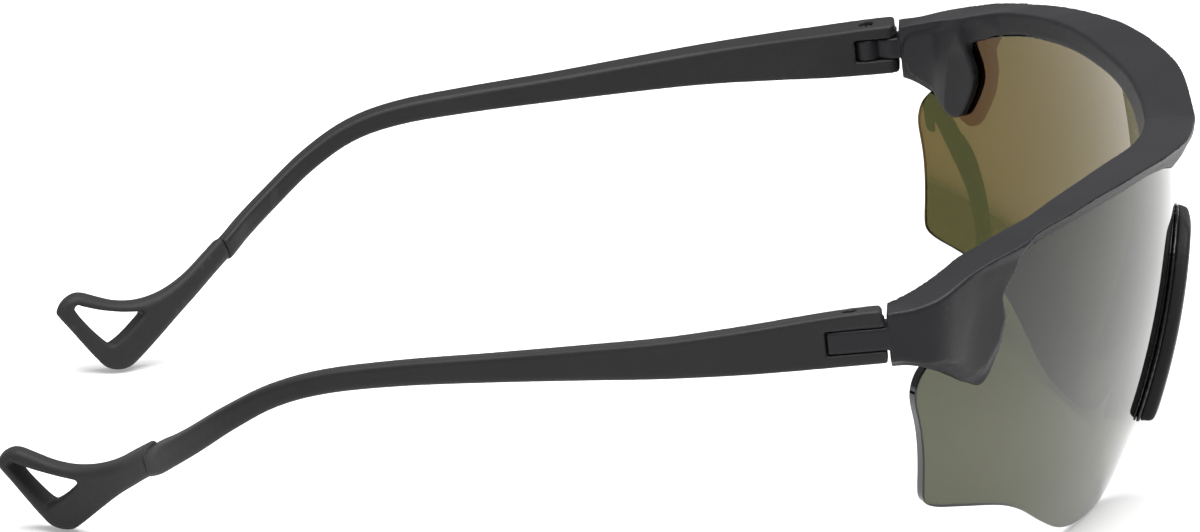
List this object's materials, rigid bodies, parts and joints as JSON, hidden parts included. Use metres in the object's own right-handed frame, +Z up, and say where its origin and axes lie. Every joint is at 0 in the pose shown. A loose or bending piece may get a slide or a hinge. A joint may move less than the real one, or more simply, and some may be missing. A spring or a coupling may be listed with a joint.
{
  "type": "glacier glasses",
  "caption": "Wrap-around glacier glasses: a curved one-piece lens in a half-rim front, folding temples with soft open ends and a clip-in nose piece.",
  "frame": {"origin": "bottom centre of the box around the glasses, on the table they stand on with the temples open", "axes": "+X to the wearer's left, -Y the way the lens faces, +Z up"},
  "size_m": [0.1522, 0.161, 0.052],
  "materials": {
    "frame": "soft matt, dark grey",
    "lens": "polished, olive tint with a faint silver mirror coat",
    "carrier": "gloss black",
    "nose_rubber": "matt black",
    "temple": "soft matt, dark grey",
    "tip_rubber": "matt dark grey",
    "screw": "dark plated steel",
    "insert": "turned brass"
  },
  "bodies": {
    "front": {"front_frame": "frame", "lens": "lens", "nose_carrier": "carrier", "nose_pad": "nose_rubber"},
    "temple_l": {"temple_left": "temple", "temple_tip_left": "tip_rubber", "hinge_screw_left": "screw", "hinge_insert_left": "insert"},
    "temple_r": {"temple_right": "temple", "temple_tip_right": "tip_rubber", "hinge_screw_right": "screw", "hinge_insert_right": "insert"}
  },
  "joints": [
    {"name": "fold_left", "type": "hinge", "parent": "front", "child": "temple_l", "pos_m": [0.0732, -0.0342, 0.0392], "axis": [0, 0.1045, 0.9945], "range_deg": [0, 80]},
    {"name": "fold_right", "type": "hinge", "parent": "front", "child": "temple_r", "pos_m": [-0.0732, -0.0342, 0.0392], "axis": [0, -0.1045, -0.9945], "range_deg": [0, 70]}
  ]
}
